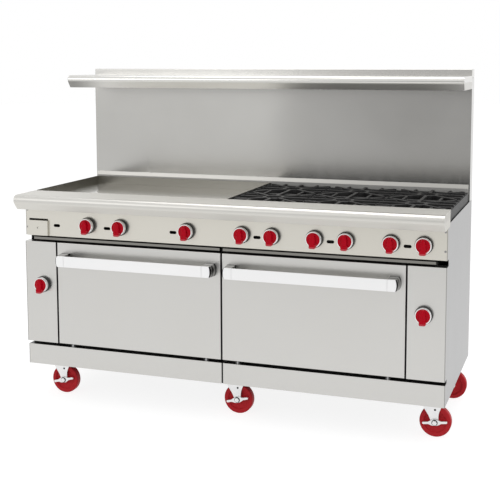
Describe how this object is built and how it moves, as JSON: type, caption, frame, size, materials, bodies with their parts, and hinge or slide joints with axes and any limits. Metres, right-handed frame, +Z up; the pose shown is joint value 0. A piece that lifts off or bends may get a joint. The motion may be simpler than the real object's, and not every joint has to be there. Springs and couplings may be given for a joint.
{
  "type": "commercial gas range",
  "caption": "Free-standing commercial gas range on casters with drop-down oven doors, griddle, open burners with cast grates, control knobs, backguard and high shelf.",
  "frame": {"origin": "on the floor, under the middle of the bounding box", "axes": "+X to the right as seen from the front, +Y to the back, +Z up"},
  "size_m": [1.853, 0.829, 1.452],
  "materials": {
    "stainless": "brushed, satin",
    "painted_frame": "black paint",
    "galvanised": "galvanised sheet",
    "oven_enamel": "dark porcelain enamel",
    "insulation": "mineral wool",
    "rack_wire": "plated wire",
    "cast_iron": "raw casting",
    "grate_iron": "black matte casting",
    "griddle_steel": "polished",
    "black_pipe": "black iron pipe",
    "valve_brass": "machined",
    "bezel_black": "black",
    "knob_red": "moulded gloss red",
    "zinc": "bright zinc plate",
    "wheel_red": "red polyurethane",
    "handle_bar": "bright satin"
  },
  "bodies": {
    "chassis": {"base_frame": "painted_frame", "side_panels": "stainless", "back_panel": "galvanised", "kick_plates": "stainless", "oven_control_panels": "stainless", "control_panel": "stainless", "front_ledge": "stainless", "backguard": "stainless", "high_shelf": "stainless", "oven_liners": "oven_enamel", "oven_insulation": "insulation", "oven_racks": "rack_wire", "oven_burners": "cast_iron", "griddle_plate": "griddle_steel", "griddle_splash": "stainless", "griddle_burners": "cast_iron", "top_frame": "galvanised", "burner_heads": "cast_iron", "grates": "grate_iron", "gas_manifold": "black_pipe", "gas_valves": "valve_brass", "knob_bezels": "bezel_black", "door_hinge_brackets": "zinc", "caster_plates": "zinc", "screws": "zinc"},
    "left_door": {"left_door_skin": "stainless", "left_door_liner": "oven_enamel", "left_door_handle": "handle_bar"},
    "right_door": {"right_door_skin": "stainless", "right_door_liner": "oven_enamel", "right_door_handle": "handle_bar"},
    "left_tray": {"left_drip_tray": "stainless"},
    "right_tray": {"right_drip_tray": "stainless"},
    "grease_drawer": {"grease_drawer": "stainless"},
    "griddle_knob_1": {"griddle_knob_1": "knob_red"},
    "griddle_knob_2": {"griddle_knob_2": "knob_red"},
    "griddle_knob_3": {"griddle_knob_3": "knob_red"},
    "burner_knob_1": {"burner_knob_1": "knob_red"},
    "burner_knob_2": {"burner_knob_2": "knob_red"},
    "burner_knob_3": {"burner_knob_3": "knob_red"},
    "burner_knob_4": {"burner_knob_4": "knob_red"},
    "burner_knob_5": {"burner_knob_5": "knob_red"},
    "burner_knob_6": {"burner_knob_6": "knob_red"},
    "left_oven_knob": {"left_oven_knob": "knob_red"},
    "right_oven_knob": {"right_oven_knob": "knob_red"},
    "front_left_caster": {"front_left_fork": "zinc"},
    "front_left_wheel": {"front_left_wheel": "wheel_red"},
    "front_left_brake": {"front_left_brake_lever": "zinc"},
    "front_middle_caster": {"front_middle_fork": "zinc"},
    "front_middle_wheel": {"front_middle_wheel": "wheel_red"},
    "front_middle_brake": {"front_middle_brake_lever": "zinc"},
    "front_right_caster": {"front_right_fork": "zinc"},
    "front_right_wheel": {"front_right_wheel": "wheel_red"},
    "front_right_brake": {"front_right_brake_lever": "zinc"},
    "rear_left_caster": {"rear_left_fork": "zinc"},
    "rear_left_wheel": {"rear_left_wheel": "wheel_red"},
    "rear_middle_caster": {"rear_middle_fork": "zinc"},
    "rear_middle_wheel": {"rear_middle_wheel": "wheel_red"},
    "rear_right_caster": {"rear_right_fork": "zinc"},
    "rear_right_wheel": {"rear_right_wheel": "wheel_red"}
  },
  "joints": [
    {"name": "left_door_hinge", "type": "hinge", "parent": "chassis", "child": "left_door", "pos_m": [-0.381, -0.3185, 0.256], "axis": [1, 0, 0], "range_deg": [0, 90]},
    {"name": "right_door_hinge", "type": "hinge", "parent": "chassis", "child": "right_door", "pos_m": [0.381, -0.3185, 0.256], "axis": [1, 0, 0], "range_deg": [0, 90]},
    {"name": "left_tray_slide", "type": "slide", "parent": "chassis", "child": "left_tray", "axis": [0, -1, 0], "range_m": [0, 0.45]},
    {"name": "right_tray_slide", "type": "slide", "parent": "chassis", "child": "right_tray", "axis": [0, -1, 0], "range_m": [0, 0.45]},
    {"name": "grease_drawer_slide", "type": "slide", "parent": "chassis", "child": "grease_drawer", "axis": [0, -1, 0], "range_m": [0, 0.15]},
    {"name": "griddle_knob_1_turn", "type": "hinge", "parent": "chassis", "child": "griddle_knob_1", "pos_m": [-0.6096, -0.3185, 0.792], "axis": [0, -1, 0], "range_deg": [0, 90]},
    {"name": "griddle_knob_2_turn", "type": "hinge", "parent": "chassis", "child": "griddle_knob_2", "pos_m": [-0.4572, -0.3185, 0.792], "axis": [0, -1, 0], "range_deg": [0, 90]},
    {"name": "griddle_knob_3_turn", "type": "hinge", "parent": "chassis", "child": "griddle_knob_3", "pos_m": [-0.1524, -0.3185, 0.792], "axis": [0, -1, 0], "range_deg": [0, 90]},
    {"name": "burner_knob_1_turn", "type": "hinge", "parent": "chassis", "child": "burner_knob_1", "pos_m": [0.0889, -0.3185, 0.792], "axis": [0, -1, 0], "range_deg": [0, 90]},
    {"name": "burner_knob_2_turn", "type": "hinge", "parent": "chassis", "child": "burner_knob_2", "pos_m": [0.2159, -0.3185, 0.792], "axis": [0, -1, 0], "range_deg": [0, 90]},
    {"name": "burner_knob_3_turn", "type": "hinge", "parent": "chassis", "child": "burner_knob_3", "pos_m": [0.3937, -0.3185, 0.792], "axis": [0, -1, 0], "range_deg": [0, 90]},
    {"name": "burner_knob_4_turn", "type": "hinge", "parent": "chassis", "child": "burner_knob_4", "pos_m": [0.5207, -0.3185, 0.792], "axis": [0, -1, 0], "range_deg": [0, 90]},
    {"name": "burner_knob_5_turn", "type": "hinge", "parent": "chassis", "child": "burner_knob_5", "pos_m": [0.6985, -0.3185, 0.792], "axis": [0, -1, 0], "range_deg": [0, 90]},
    {"name": "burner_knob_6_turn", "type": "hinge", "parent": "chassis", "child": "burner_knob_6", "pos_m": [0.8255, -0.3185, 0.792], "axis": [0, -1, 0], "range_deg": [0, 90]},
    {"name": "left_oven_knob_turn", "type": "hinge", "parent": "chassis", "child": "left_oven_knob", "pos_m": [-0.8304, -0.3265, 0.523], "axis": [0, -1, 0], "range_deg": [0, 270]},
    {"name": "right_oven_knob_turn", "type": "hinge", "parent": "chassis", "child": "right_oven_knob", "pos_m": [0.8304, -0.3265, 0.523], "axis": [0, -1, 0], "range_deg": [0, 270]},
    {"name": "front_left_brake_press", "type": "hinge", "parent": "front_left_caster", "child": "front_left_brake", "pos_m": [-0.801, -0.1965, 0.0635], "axis": [0, -1, 0], "range_deg": [-28, 0]},
    {"name": "front_middle_brake_press", "type": "hinge", "parent": "front_middle_caster", "child": "front_middle_brake", "pos_m": [0.031, -0.1965, 0.0635], "axis": [0, -1, 0], "range_deg": [-28, 0]},
    {"name": "front_right_brake_press", "type": "hinge", "parent": "front_right_caster", "child": "front_right_brake", "pos_m": [0.863, -0.1965, 0.0635], "axis": [0, -1, 0], "range_deg": [-21, 7]},
    {"name": "front_left_swivel", "type": "hinge", "parent": "chassis", "child": "front_left_caster", "pos_m": [-0.832, -0.1965, 0.16], "axis": [0, 0, 1], "continuous": true},
    {"name": "front_middle_swivel", "type": "hinge", "parent": "chassis", "child": "front_middle_caster", "pos_m": [0, -0.1965, 0.16], "axis": [0, 0, 1], "continuous": true},
    {"name": "front_right_swivel", "type": "hinge", "parent": "chassis", "child": "front_right_caster", "pos_m": [0.832, -0.1965, 0.16], "axis": [0, 0, 1], "continuous": true},
    {"name": "rear_left_swivel", "type": "hinge", "parent": "chassis", "child": "rear_left_caster", "pos_m": [-0.832, 0.2815, 0.16], "axis": [0, 0, 1], "continuous": true},
    {"name": "rear_middle_swivel", "type": "hinge", "parent": "chassis", "child": "rear_middle_caster", "pos_m": [0, 0.2815, 0.16], "axis": [0, 0, 1], "continuous": true},
    {"name": "rear_right_swivel", "type": "hinge", "parent": "chassis", "child": "rear_right_caster", "pos_m": [0.832, 0.2815, 0.16], "axis": [0, 0, 1], "continuous": true},
    {"name": "front_left_roll", "type": "hinge", "parent": "front_left_caster", "child": "front_left_wheel", "pos_m": [-0.801, -0.1965, 0.0635], "axis": [0, 1, 0], "continuous": true},
    {"name": "front_middle_roll", "type": "hinge", "parent": "front_middle_caster", "child": "front_middle_wheel", "pos_m": [0.031, -0.1965, 0.0635], "axis": [0, 1, 0], "continuous": true},
    {"name": "front_right_roll", "type": "hinge", "parent": "front_right_caster", "child": "front_right_wheel", "pos_m": [0.863, -0.1965, 0.0635], "axis": [0, 1, 0], "continuous": true},
    {"name": "rear_left_roll", "type": "hinge", "parent": "rear_left_caster", "child": "rear_left_wheel", "pos_m": [-0.863, 0.2815, 0.0635], "axis": [0, 1, 0], "continuous": true},
    {"name": "rear_middle_roll", "type": "hinge", "parent": "rear_middle_caster", "child": "rear_middle_wheel", "pos_m": [0.031, 0.2815, 0.0635], "axis": [0, 1, 0], "continuous": true},
    {"name": "rear_right_roll", "type": "hinge", "parent": "rear_right_caster", "child": "rear_right_wheel", "pos_m": [0.863, 0.2815, 0.0635], "axis": [0, 1, 0], "continuous": true}
  ]
}
